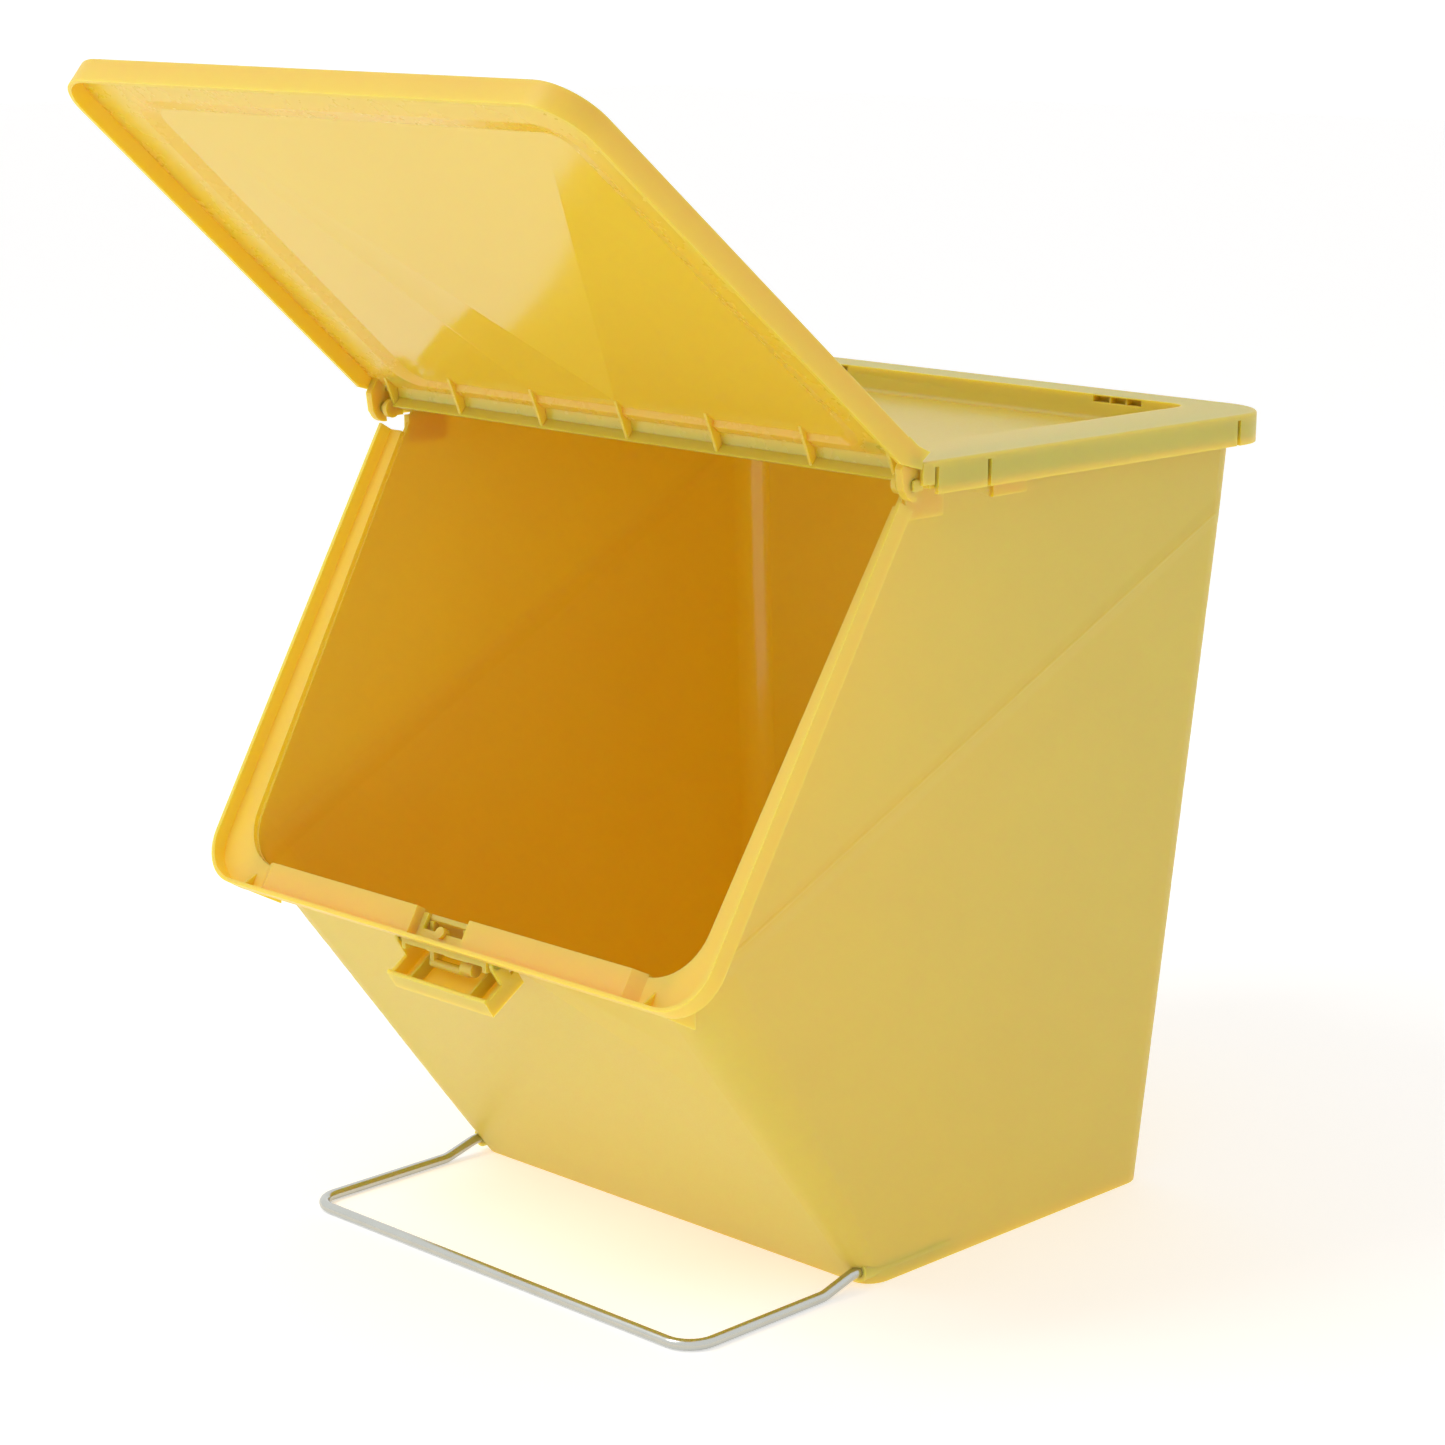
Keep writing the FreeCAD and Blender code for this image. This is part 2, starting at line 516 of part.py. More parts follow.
front_skirt = box("front_skirt", ("-(cheek_inner + cheek_thick)", "cheek_inner + cheek_thick"),
                  (f"{FRONT} + cover_set_back", f"{FRONT} + cover_set_back + cover_wall"),
                  ("total_height - front_skirt", "total_height - 1"))
cheek_x = ("cheek_inner", "cheek_inner + cheek_thick")
hinge_cheeks = both("hinge_cheek", lambda name, sign: box(
    name, across(sign, *cheek_x), (FRONT, f"{FRONT} + cover_set_back + cover_wall"),
    ("total_height - hinge_drop - 4", "total_height - 1")))
hinge_noses = both("hinge_nose", lambda name, sign: rod(
    name, "cheek_radius", across(sign, *cheek_x), HINGE_Y, HINGE_Z))
hinge_pins = both("hinge_pin", lambda name, sign: rod(
    name, "pin_radius", across(sign, "cheek_inner", "cover_half_width - cover_wall"), HINGE_Y, HINGE_Z))
pin_blocks = both("pin_block", lambda name, sign: box(
    name, across(sign, "hook_inner + hook_thick + hook_side", "cover_half_width - cover_wall + 0.5"),
    (f"{HINGE_Y} - pin_radius", f"{HINGE_Y} + pin_block - pin_radius"),
    (f"{HINGE_Z} - pin_block_half", f"{HINGE_Z} + pin_block_half")))
cover_shell = cut("cover_shell", cover_outer, under)
cover_solid = fuse("cover_solid", cover_shell, tray, *pocket_shells)
cover_cut = cut("cover_cut", cover_solid, recess, set_back, *tab_cuts, *slots, *pockets)
piece("top_cover", fuse("top_cover", cover_cut, front_skirt, *pocket_bars, *hinge_cheeks, *hinge_noses,
                        *hinge_pins, *pin_blocks))

# ---------------------------------------------------------------- lid
lid_top = size["lid_gap"] + size["lid_depth"]
lid_skin = lid_top - size["lid_wall"]
ring_inside = lid_skin - size["step_height"]


def lid_half(reach):
    """The lid's half width at a distance from the hinge axis."""
    taper = (size["lid_half_hinge"] - size["lid_half_free"]) / size["lid_length"]
    return size["lid_half_hinge"] - taper * reach


def lid_wire(inset, start, end, level, near_corner, far_corner):
    """A closed tapering outline, parallel to the lid's sides, with rounded corners."""
    near, far = lid_half(start) - inset, lid_half(end) - inset
    points = [FreeCAD.Vector(*p) for p in (
        (-near, -start, level), (near, -start, level), (far, -end, level), (-far, -end, level))]
    block = prism(points, FreeCAD.Vector(0, 0, 1))
    for radius, reach in ((near_corner, start), (far_corner, end)):
        edges = [e for e in block.Edges if upright(e, e.Vertexes[0].Point, e.Vertexes[-1].Point)
                 and abs(e.Vertexes[0].Point.y + reach) < 0.01]
        if radius:
            block = block.makeFillet(radius, edges)
    return min(block.Faces, key=lambda f: f.CenterOfMass.z).OuterWire


def lid_slab(inset, start, end, low, high, corner):
    return Part.Face(lid_wire(inset, start, end, low, 0, corner)).extrude(FreeCAD.Vector(0, 0, high - low))


def plateau(grow, low):
    """The raised middle panel: a shallow frustum with sloping sides, grown outward by grow."""
    run, corner = size["step_run"], size["plateau_corner"]
    inset, near, far = size["plateau_inset"] - grow, size["plateau_near"] - grow, size["plateau_far"] + grow
    wide = lid_wire(inset - run, near - run / 4, far + run, low, corner + 2, corner + run)
    narrow = lid_wire(inset, near, far, low + size["step_height"], corner, corner)
    return Part.makeLoft([wide, narrow], True, True)


def profile(points, start, end):
    """A prism along X from a profile of (distance from the axis, height) points."""
    outline = [FreeCAD.Vector(start, -reach, level) for reach, level in points]
    return prism(outline, FreeCAD.Vector(end - start, 0, 0))


def lid_shape():
    wall, length, gap = size["lid_wall"], size["lid_length"], size["lid_gap"]
    shell = lid_slab(0, size["lid_start"], length, gap, lid_top, size["lid_corner"])
    rim_edges = [e for e in shell.Edges if abs(e.BoundBox.ZMin - lid_top) < 0.01
                 and abs(e.BoundBox.ZMax - lid_top) < 0.01 and e.BoundBox.YMin < -size["lid_start"] - 1]
    shell = shell.makeFillet(size["lid_edge_round"], rim_edges)
    shell = shell.cut(lid_slab(wall, -5, length - wall, -5, ring_inside, size["lid_corner"] - wall))
    groove = lid_slab(2 * wall, 2 * wall + size["lid_start"], length - 2 * wall, ring_inside + wall,
                      lid_top + 1, size["lid_corner"] - 2 * wall)
    shell = shell.cut(groove.cut(plateau(wall, ring_inside + wall)))
    shell = shell.fuse(plateau(wall, ring_inside + wall)).cut(plateau(0, ring_inside))
    wide = size["lid_half_hinge"] + 5
    relief = size["lid_relief"]
    shell = shell.cut(profile([(0, -5), (relief, -5), (relief, gap), (0, size["lid_start"])], -wide, wide))

    edge, low, rise, half = (size[key] for key in ("strip_edge", "strip_low", "strip_rise", "strip_half"))
    start = size["lid_start"]
    thin = size["strip_wall"]
    strip = profile([(edge, low), (edge, rise), (start, lid_top), (start + 10, lid_top),
                     (start + 10, lid_skin), (start + 1, lid_skin), (edge + thin, rise - 1),
                     (edge + thin, low)], -half, half)
    added = [strip]
    thick = size["rib_thick"]
    middles = [place * size["rib_pitch"] for place in (-2, -1, 0, 1, 2)]
    middles += [half - thick / 2, -half + thick / 2]
    gusset = [(edge + 0.5, low + 0.4), (edge + 0.5, rise - 0.5), (start, lid_skin + 1),
              (size["rib_reach"], lid_skin + 1), (size["rib_reach"], lid_skin - 0.5)]
    added += [profile(gusset, middle - thick / 2, middle + thick / 2) for middle in middles]
    nose, reach = size["ear_nose"], size["ear_reach"]
    ear = [(relief, gap), (nose, 6.6), (nose + 2.3, 10.3), (nose + 0.6, lid_top + size["ear_rise"]),
           (14, lid_top), (reach, lid_top), (reach, gap)]
    trim = lid_slab(0, 0, 60, -10, lid_top + 5, 0).cut(lid_slab(wall, -10, 70, -20, lid_top + 20, 0))
    added.append(profile(ear, -wide, wide).common(trim))

    outer, inner = size["hook_radius"], size["pin_radius"] + size["pin_play"]
    near, far = size["arm_near"], size["arm_far"]
    arm = [(0, -outer + 0.1), (0.7 * outer, -0.85 * outer), (far - 1.6, 0.1), (far, ring_inside + 0.5),
           (near, ring_inside + 0.5), (near - 1.2, outer - 0.4), (0, outer - 0.1)]
    mouth_cut = [(0, 0), (-14, -11.5), (-30, 0), (-30, 30), (-2.6, 30)]
    for inside in (size["hook_inner"], -size["hook_inner"] - size["hook_thick"]):
        middle = FreeCAD.Vector(inside, 0, 0)
        disc = Part.makeCylinder(outer, size["hook_thick"], middle, FreeCAD.Vector(1, 0, 0))
        hook = disc.fuse(profile(arm, inside, inside + size["hook_thick"]))
        hook = hook.cut(profile(mouth_cut, inside, inside + size["hook_thick"]))
        bore = Part.makeCylinder(inner, size["hook_thick"], middle, FreeCAD.Vector(1, 0, 0))
        added.append(hook.cut(bore))
    return shell.fuse(added).removeSplitter()


lid = solid_from("lid", lid_shape())
lid.Placement.Rotation = FreeCAD.Rotation(FreeCAD.Vector(1, 0, 0), -size["lid_open_angle"])
piece("lid", put(lid, "0", HINGE_Y, HINGE_Z))

# ---------------------------------------------------------------- latch lever
lever_floor = box("lever_floor_plate", ("-(lever_half)", "lever_half"), ("-(lever_front)", "lever_back"),
                  ("-(lever_floor)", "-(lever_floor) + lever_wall"))
lever_lip = box("lever_lip", ("-(lever_half)", "lever_half"),
                ("-(lever_front)", "-(lever_front) + lever_wall"),
                ("-(lever_floor)", "-(lever_floor) + lever_side"))
lever_bead = rod("lever_bead_bar", "lever_bead", ("-(lever_half)", "lever_half"),
                 "-(lever_front) + lever_wall / 2", "-(lever_floor) + lever_side")
lever_parts = [lever_floor, lever_lip, lever_bead]
arm_x = ("lever_half - lever_arm", "lever_half")
for label, limits in (("side", arm_x), ("rib", ("lever_rib", "lever_rib + lever_rib_thick"))):
    lever_parts += both(f"lever_{label}", lambda name, sign: box(
        name, across(sign, *limits), ("-(lever_front) + 0.5", "lever_back"),
        ("-(lever_floor) + 0.5", "-(lever_floor) + lever_side - 0.5")))
lever_parts += both("lever_arm", lambda name, sign: box(
    name, across(sign, *arm_x), ("-(lever_eye)", "lever_eye"), ("-(lever_floor) + 1", "0")))
lever_parts += both("lever_eye_disc", lambda name, sign: rod(
    name, "lever_eye", across(sign, *arm_x), "0", "0"))
lever_holes = both("lever_hole", lambda name, sign: rod(
    name, "pivot_radius + pivot_play", across(sign, "lever_half - 8", "lever_half + 1"), "0", "0"))
lever = cut("latch_lever", fuse("lever_body", *lever_parts), *lever_holes)
lever.Placement.Rotation = FreeCAD.Rotation(FreeCAD.Vector(1, 0, 0), size["lever_hang"])
piece("latch_lever", put(lever, "0", PIVOT_Y, "pivot_height"))


# ---------------------------------------------------------------- wire stand
def bent_path(points, radii):
    """Straight runs joined by arcs: one bend radius for each inner point."""
    edges, last = [], points[0]
    for before, here, after, radius in zip(points, points[1:], points[2:], radii):
        back, ahead = (before - here).normalize(), (after - here).normalize()
        turn = back.getAngle(ahead)
        reach = radius / math.tan(turn / 2)
        middle = here + (back + ahead).normalize() * radius / math.sin(turn / 2)
        crown = middle + (here - middle).normalize() * radius
        first, second = here + back * reach, here + ahead * reach
        edges += [Part.makeLine(last, first), Part.Arc(first, crown, second).toShape()]
        last = second
    edges.append(Part.makeLine(last, points[-1]))
    return Part.Wire(edges)


def wire_shape():
    half, radius = size["wire_half"], size["wire_radius"]
    inner = -size["base_depth"] / 2 + size["wire_grip"]
    entry = -size["base_depth"] / 2 - size["wire_entry"]
    floor_y = entry - size["wire_fall"]
    leg = [(half, inner, size["bore_height"]), (half, entry, size["bore_height"]),
           (half, floor_y, radius), (half, -size["wire_front"], radius)]
    path = [FreeCAD.Vector(*p) for p in leg] + [FreeCAD.Vector(-x, y, z) for x, y, z in reversed(leg)]
    bends = [size["wire_bend"], size["wire_bend"], size["wire_corner"]]
    spine = bent_path(path, bends + bends[::-1])
    ring = Part.Wire(Part.makeCircle(radius, path[0], FreeCAD.Vector(0, 1, 0)))
    return spine.makePipeShell([ring], True, False)


piece("wire_stand", solid_from("wire_stand", wire_shape()))

# ---------------------------------------------------------------- checks and files
doc.recompute()
wrong = [thing.Label for thing in doc.Objects if {"Invalid", "Error"} & set(thing.State)]
if wrong:
    raise RuntimeError(f"not built: {wrong}")
os.makedirs("parts", exist_ok=True)
for body in pieces:
    if body.Shape.isNull() or not body.Shape.isValid():
        raise RuntimeError(f"{body.Label} has no good shape")
    body.Shape.exportStep(f"parts/{body.Label}.step")
    print(body.Label, round(body.Shape.Volume / 1000, 1), "cm3", len(body.Shape.Solids), "solid")
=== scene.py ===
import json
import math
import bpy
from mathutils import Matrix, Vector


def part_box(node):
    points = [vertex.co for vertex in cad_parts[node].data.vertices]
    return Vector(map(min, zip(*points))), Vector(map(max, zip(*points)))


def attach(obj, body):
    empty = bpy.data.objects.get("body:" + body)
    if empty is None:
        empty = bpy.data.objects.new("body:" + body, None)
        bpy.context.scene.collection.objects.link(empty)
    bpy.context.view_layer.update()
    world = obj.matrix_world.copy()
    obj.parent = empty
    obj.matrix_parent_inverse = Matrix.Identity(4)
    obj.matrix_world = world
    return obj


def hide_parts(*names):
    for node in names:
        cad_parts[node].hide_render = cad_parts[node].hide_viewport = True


bl_info = {
    "name": "Stacking Waste Container",
    "version": (1, 0, 0),
    "blender": (4, 5, 0),
    "location": "3D View > Sidebar > Container",
    "description": "Builds the finished look of a front-opening stacking waste container round its CAD frame",
    "category": "Object",
}

import bmesh
import bpy
from bpy.props import FloatProperty, FloatVectorProperty, IntProperty, PointerProperty
from mathutils import Matrix, Vector

MM = 0.001
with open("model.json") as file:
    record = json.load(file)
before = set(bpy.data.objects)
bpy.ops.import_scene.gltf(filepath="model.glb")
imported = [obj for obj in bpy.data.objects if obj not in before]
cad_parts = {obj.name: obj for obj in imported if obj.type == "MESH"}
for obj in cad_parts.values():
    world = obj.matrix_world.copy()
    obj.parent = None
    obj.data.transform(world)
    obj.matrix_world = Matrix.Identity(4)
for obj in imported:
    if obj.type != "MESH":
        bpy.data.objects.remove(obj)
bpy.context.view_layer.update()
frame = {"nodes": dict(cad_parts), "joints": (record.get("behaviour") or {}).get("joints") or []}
JOINTS = {joint["name"]: joint for joint in frame["joints"]}
HINGE = Vector(JOINTS["lid_hinge"]["pos_m"])
MOUTH_TILT = math.radians(59.6)
LID_TILT = math.radians(-39.5)

# The soft crease on the tub's sides: its ends as Y and Z, how far it spreads, how proud it stands, and how far
# out from the middle the sides begin.
CREASE_START, CREASE_END = Vector((-0.275, 0.199)), Vector((0.134, 0.401))
CREASE_SPREAD = 8 * MM
CREASE_RISE = 0.9 * MM
SIDE_STARTS, SIDE_FULL = 0.155, 0.17

# Finding and rounding the real edges of a frame node.
WELD_DISTANCE = 0.001 * MM
FLAT_ANGLE = math.radians(0.03)
FEATURE_ANGLE = math.radians(0.6)
EASED_ANGLE = math.radians(24)

# Where the polished faces begin on the tub and on the lid.
INSIDE_OF_MOUTH = 9 * MM
ABOVE_FOOT = 2.5 * MM
RIM_HEIGHT = 1 * MM
PANEL_HEIGHT = 11 * MM

# The studio.
FLOOR_SIZE, FLOOR_GAP = 24, 0.2 * MM
BACKDROP = 1.1
KEY_PLACE, KEY_AIM, KEY_SIZE = (-0.7, -1.7, 2.2), (0, 0, 0.25), (0.9, 1.3)
CAMERA_PLACE = (1.2739, -1.4112, 0.6903)
CAMERA_TURN, CAMERA_DIP, CAMERA_ROLL = 0.763, 0.221, 0.010
SENSOR_WIDTH, VIEW_END = 36, 60


# ---------------------------------------------------------------- sizes and colours
def linear(code):
    """A six-figure sRGB hex colour as linear red, green and blue."""
    parts = [int(code[place:place + 2], 16) / 255 for place in (0, 2, 4)]
    return [part / 12.92 if part <= 0.04045 else ((part + 0.055) / 1.055) ** 2.4 for part in parts]


def colour(title, code, words):
    return FloatVectorProperty(name=title, description=words, subtype="COLOR", size=3, min=0, max=1,
                               default=linear(code))


def length(title, millimetres, words):
    return FloatProperty(name=title, description=words, unit="LENGTH", min=0, default=millimetres * MM)


class ContainerColours(bpy.types.PropertyGroup):
    """Colours of the moulded plastic, the wire and the floor."""
    shell: colour("Shell", "E8C24E", "Pigment of the tub, the cover and the latch lever")
    lid: colour("Lid", "E8C046", "Pigment of the lid")
    zinc: colour("Zinc", "C4C6C0", "Bright zinc plating on the wire")
    floor: colour("Floor", "F4F3F2", "Studio floor")


class ContainerSizes(bpy.types.PropertyGroup):
    """Small sizes that the frame doesn't carry."""
    ease: length("Eased edge", 0.45, "Width of the rounding on the moulded edges")
    spark_grain: length("Spark grain", 1.1, "Size of the grain that the mould's spark finish leaves")
    flow: length("Flow marks", 90, "Distance between the soft flow marks in the glossy faces")
    wire_facets: IntProperty(name="Wire facets", description="Sides of the wire's round section", min=8,
                             default=24)


class StudioSettings(bpy.types.PropertyGroup):
    """The camera and the lights."""
    focal_length: FloatProperty(name="Focal length", description="Camera lens", unit="CAMERA", default=85.24)
    sky: FloatProperty(name="Sky", description="Strength of the white surroundings", min=0, default=0.62)
    key: FloatProperty(name="Key light", description="Power of the large light over the mouth", unit="POWER",
                       min=0, default=20)


# ---------------------------------------------------------------- materials
def add_node(tree, kind, settings=(), inputs=(), links=()):
    """Adds a node, sets its settings and its inputs' values, and links other nodes' outputs to its inputs."""
    node = tree.nodes.new(kind)
    for key, value in dict(settings).items():
        setattr(node, key, value)
    for key, value in dict(inputs).items():
        node.inputs[key].default_value = value
    for key, output in dict(links).items():
        tree.links.new(output, node.inputs[key])
    return node


def new_material(name, **values):
    """A material with a Principled shader whose even values are set on its own sockets."""
    material = bpy.data.materials.new(name)
    material.use_nodes = True
    tree = material.node_tree
    shader = tree.nodes["Principled BSDF"]
    for key, value in values.items():
        shader.inputs[key].default_value = value
    place = add_node(tree, "ShaderNodeTexCoord").outputs["Object"]
    return material, tree, shader, place


def crease_height(tree, place):
    """The tub's soft crease: a broad rounded swell along the line from the beak's corner to the back corner,
    and 0 away from it.  Only the tub reaches it."""
    apart = add_node(tree, "ShaderNodeSeparateXYZ", links={"Vector": place})
    run = (CREASE_END - CREASE_START).normalized()
    across = add_node(tree, "ShaderNodeMath", {"operation": "MULTIPLY_ADD"}, {
        1: run.x, 2: CREASE_START.x * run.y - CREASE_START.y * run.x}, {0: apart.outputs["Z"]})
    offset = add_node(tree, "ShaderNodeMath", {"operation": "MULTIPLY_ADD"}, {1: -run.y}, {
        0: apart.outputs["Y"], 2: across.outputs[0]})
    away = add_node(tree, "ShaderNodeMath", {"operation": "ABSOLUTE"}, links={0: offset.outputs[0]})
    swell = add_node(tree, "ShaderNodeMapRange", {"interpolation_type": "SMOOTHSTEP"}, {
        "From Min": 0.0, "From Max": CREASE_SPREAD, "To Min": 1.0, "To Max": 0.0}, {"Value": away.outputs[0]})
    aside = add_node(tree, "ShaderNodeMath", {"operation": "ABSOLUTE"}, links={0: apart.outputs["X"]})
    side = add_node(tree, "ShaderNodeMapRange", inputs={"From Min": SIDE_STARTS, "From Max": SIDE_FULL},
                    links={"Value": aside.outputs[0]})
    height = add_node(tree, "ShaderNodeMath", {"operation": "MULTIPLY"}, links={
        0: swell.outputs["Result"], 1: side.outputs["Result"]})
    return height.outputs[0]


def moulded_polypropylene(name, pigment, roughness, grain, grain_depth, flow):
    """Injection-moulded polypropylene: pigmented right through, a soft sheen, a fine grain printed by the
    mould, and broad faint flow marks where the melt ran, which vary colour and gloss a little."""
    material, tree, shader, place = new_material(name, **{
        "IOR": 1.49, "Specular IOR Level": 0.5, "Subsurface Weight": 1.0, "Subsurface Scale": 14 * MM,
        "Subsurface Radius": (1.0, 0.585, 0.07)})
    marks = add_node(tree, "ShaderNodeTexNoise", inputs={"Scale": 1 / flow, "Detail": 3, "Distortion": 0.6},
                     links={"Vector": place})
    dark = [part * 0.955 for part in pigment] + [1]
    light = [min(1, part * 1.03) for part in pigment] + [1]
    tint = add_node(tree, "ShaderNodeMix", {"data_type": "RGBA"}, links={"Factor": marks.outputs["Fac"]})
    tint.inputs["A"].default_value = dark
    tint.inputs["B"].default_value = light
    tree.links.new(tint.outputs["Result"], shader.inputs["Base Color"])
    spark = add_node(tree, "ShaderNodeTexNoise", inputs={"Scale": 1 / grain, "Detail": 4, "Roughness": 0.6},
                     links={"Vector": place})
    mixed = add_node(tree, "ShaderNodeMath", {"operation": "MULTIPLY_ADD"}, {1: 0.3}, {
        0: marks.outputs["Fac"], 2: spark.outputs["Fac"]})
    gloss = add_node(tree, "ShaderNodeMapRange", inputs={
        "From Min": 0.3, "From Max": 1.0, "To Min": roughness * 0.82, "To Max": roughness * 1.18},
        links={"Value": mixed.outputs[0]})
    tree.links.new(gloss.outputs["Result"], shader.inputs["Roughness"])
    fine = add_node(tree, "ShaderNodeBump", inputs={"Strength": 0.5, "Distance": grain_depth},
                    links={"Height": spark.outputs["Fac"]})
    sink = add_node(tree, "ShaderNodeBump", inputs={"Strength": 0.35, "Distance": 0.3 * MM},
                    links={"Height": marks.outputs["Fac"], "Normal": fine.outputs["Normal"]})
    ridge = add_node(tree, "ShaderNodeBump", inputs={"Strength": 1.0, "Distance": CREASE_RISE}, links={
        "Height": crease_height(tree, place), "Normal": sink.outputs["Normal"]})
    tree.links.new(ridge.outputs["Normal"], shader.inputs["Normal"])
    return material


def bright_zinc_wire(name, plating):
    """Drawn steel wire, electroplated with bright zinc: a cool mirror-like metal with faint lengthways
    drawing lines and slightly cloudy patches."""
    material, tree, shader, place = new_material(name, Metallic=1.0)
    cloud = add_node(tree, "ShaderNodeTexNoise", inputs={"Scale": 1 / (14 * MM), "Detail": 3},
                     links={"Vector": place})
    tint = add_node(tree, "ShaderNodeMix", {"data_type": "RGBA"}, links={"Factor": cloud.outputs["Fac"]})
    tint.inputs["A"].default_value = [part * 0.86 for part in plating] + [1]
    tint.inputs["B"].default_value = list(plating) + [1]
    tree.links.new(tint.outputs["Result"], shader.inputs["Base Color"])
    gloss = add_node(tree, "ShaderNodeMapRange", inputs={"To Min": 0.16, "To Max": 0.3},
                     links={"Value": cloud.outputs["Fac"]})
    tree.links.new(gloss.outputs["Result"], shader.inputs["Roughness"])
    lines = add_node(tree, "ShaderNodeTexNoise", inputs={"Scale": 1 / (0.9 * MM), "Detail": 2},
                     links={"Vector": place})
    drawn = add_node(tree, "ShaderNodeBump", inputs={"Strength": 0.25, "Distance": 0.02 * MM},
                     links={"Height": lines.outputs["Fac"]})
    tree.links.new(drawn.outputs["Normal"], shader.inputs["Normal"])
    return material


def studio_paint(name, paint):
    """Matt emulsion on a studio floor: pale, flat and very slightly mottled by the roller."""
    material, tree, shader, place = new_material(name, **{
        "Roughness": 0.9, "Emission Color": (1, 1, 1, 1), "Emission Strength": 0.4})
    mottle = add_node(tree, "ShaderNodeTexNoise", inputs={"Scale": 6, "Detail": 4}, links={"Vector": place})
    tint = add_node(tree, "ShaderNodeMix", {"data_type": "RGBA"}, links={"Factor": mottle.outputs["Fac"]})
    tint.inputs["A"].default_value = [part * 0.985 for part in paint] + [1]
    tint.inputs["B"].default_value = list(paint) + [1]
    tree.links.new(tint.outputs["Result"], shader.inputs["Base Color"])
    return material


def satin_shell(name, pigment):
    sizes = bpy.context.scene.container_sizes
    return moulded_polypropylene(name, pigment, 0.44, sizes.spark_grain, 0.008 * MM, sizes.flow)


def glossy_face(name, pigment, roughness):
    """The same plastic where the mould was polished: the grain is gone and the flow marks show."""
    sizes = bpy.context.scene.container_sizes
    return moulded_polypropylene(name, pigment, roughness, sizes.flow / 5, 0.0006 * MM, sizes.flow)


# ---------------------------------------------------------------- moulded pieces from the frame
def welded(node):
    """A joined-up copy of a frame node, with the frame's own corner normals kept on its loops."""
    source = frame["nodes"][node].data
    normals = [Vector(corner.vector) for corner in source.corner_normals]
    mesh = bmesh.new()
    mesh.from_mesh(source)
    kept = mesh.loops.layers.float_vector.new("kept_normal")
    number = 0
    for face in mesh.faces:
        for loop in face.loops:
            loop[kept] = normals[number]
            number += 1
    bmesh.ops.remove_doubles(mesh, verts=mesh.verts, dist=WELD_DISTANCE)
    return mesh, kept


def corner_turn(edge, kept):
    """The largest angle between the two faces' kept normals along an edge."""
    first, second = edge.link_loops
    pairs = ((first, second.link_loop_next), (first.link_loop_next, second))
    return max(one[kept].angle(other[kept], 0) for one, other in pairs)


def eased(node, body, finishes, choose=None):
    """Makes a finished moulded piece from a frame node: its real edges are found and rounded, its curved faces
    are smooth, and choose(centre, normal) gives each face one of the finishes.  The frame node is replaced."""
    mesh, kept = welded(node)
    weight = mesh.edges.layers.float.new("bevel_weight_edge")
    for edge in mesh.edges:
        real = corner_turn(edge, kept) > FEATURE_ANGLE
        edge.smooth = not real
        edge[weight] = 1.0 if real and edge.calc_face_angle(0) > EASED_ANGLE else 0.0
    bmesh.ops.dissolve_limit(mesh, angle_limit=FLAT_ANGLE, verts=mesh.verts, edges=mesh.edges,
                             use_dissolve_boundaries=False, delimit={"SHARP"})
    for face in mesh.faces:
        face.smooth = True
        face.material_index = choose(face.calc_center_median(), face.normal) if choose else 0
    mesh.loops.layers.float_vector.remove(mesh.loops.layers.float_vector["kept_normal"])
    data = bpy.data.meshes.new(f"{node}_finished")
    mesh.to_mesh(data)
    mesh.free()
    piece = bpy.data.objects.new(f"{node}_finished", data)
    bpy.context.collection.objects.link(piece)
    for finish in finishes:
        data.materials.append(finish)
    bevel = piece.modifiers.new("eased_edges", "BEVEL")
    bevel.limit_method = "WEIGHT"
    bevel.width = bpy.context.scene.container_sizes.ease
    bevel.segments = 2
    bevel.use_clamp_overlap = True
    bevel.harden_normals = True
    bevel.miter_outer = "MITER_ARC"
    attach(piece, body)
    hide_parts(node)
    return piece


def mouth_depth(point):
    """How far a point lies in front of the mouth's plane."""
    offset = point - HINGE
    return -offset.y * math.sin(MOUTH_TILT) + offset.z * math.cos(MOUTH_TILT)


def in_lid(point):
    """A point in the lid's own frame: X across, -Y from the hinge to the free edge, Z outward."""
    return Matrix.Rotation(-LID_TILT, 3, "X") @ (point - HINGE)


class OBJECT_OT_container_tub(bpy.types.Operator):
    """Make the tub: satin outside, polished inside"""
    bl_idname = "object.container_tub"
    bl_label = "Tub"

    def execute(self, context):
        colours = context.scene.container_colours
        outside = satin_shell("spark_finished_polypropylene", colours.shell)
        inside = glossy_face("polished_polypropylene", colours.shell, 0.15)
        heart = Vector((0, 0, 0.25))
        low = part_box("tub")[0]

        def choose(centre, normal):
            within = (heart - centre).dot(normal) > 0 and mouth_depth(centre) < -INSIDE_OF_MOUTH
            return 1 if within and centre.z > low.z + ABOVE_FOOT else 0

        eased("tub", "bin", [outside, inside], choose)
        return {"FINISHED"}


class OBJECT_OT_container_cover(bpy.types.Operator):
    """Make the push-on top cover with its stacking recess"""
    bl_idname = "object.container_cover"
    bl_label = "Top cover"

    def execute(self, context):
        colours = context.scene.container_colours
        eased("top_cover", "cover",
              [satin_shell("spark_finished_polypropylene_cover", colours.shell)])
        return {"FINISHED"}


